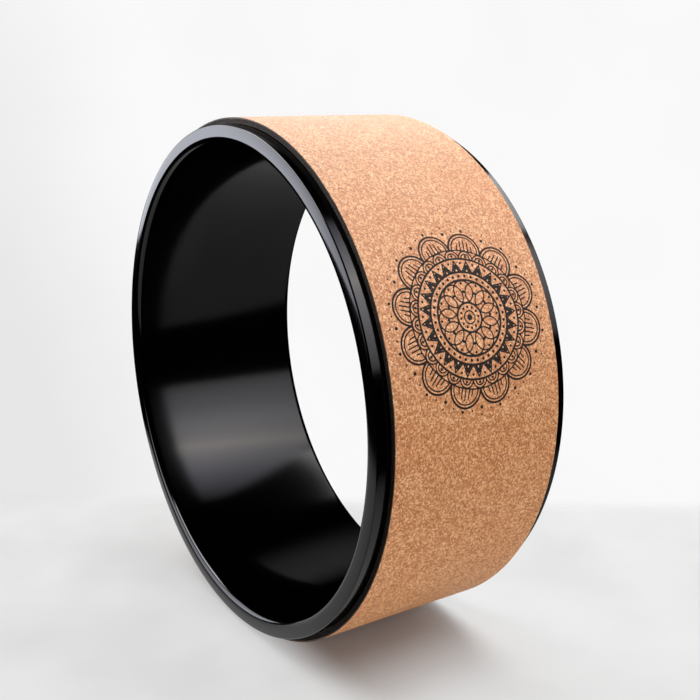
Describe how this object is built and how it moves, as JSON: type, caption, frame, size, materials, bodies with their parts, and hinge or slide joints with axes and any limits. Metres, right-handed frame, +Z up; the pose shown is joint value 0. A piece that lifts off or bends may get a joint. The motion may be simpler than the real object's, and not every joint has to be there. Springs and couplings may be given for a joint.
{
  "type": "yoga wheel",
  "caption": "Open hoop for back stretches: a rigid black plastic ring with rounded rims, wrapped in a foam and cork tread that a back rolls on.",
  "frame": {"origin": "centre of the wheel, on its axis at the middle of its width", "axes": "+Y along the wheel's axis, towards its back face; +Z up, with the wheel standing on its tread"},
  "size_m": [0.33, 0.132, 0.33],
  "materials": {
    "hoop_plastic": "satin to gloss black, moulded",
    "adhesive_film": "translucent film",
    "foam": "matt brownish black closed-cell foam",
    "cork": "pressed cork granules, sanded"
  },
  "bodies": {
    "root": {"hoop": "hoop_plastic", "hoop_adhesive": "adhesive_film", "foam_strip": "foam", "cork_adhesive": "adhesive_film", "cork_sheet": "cork"}
  },
  "joints": []
}
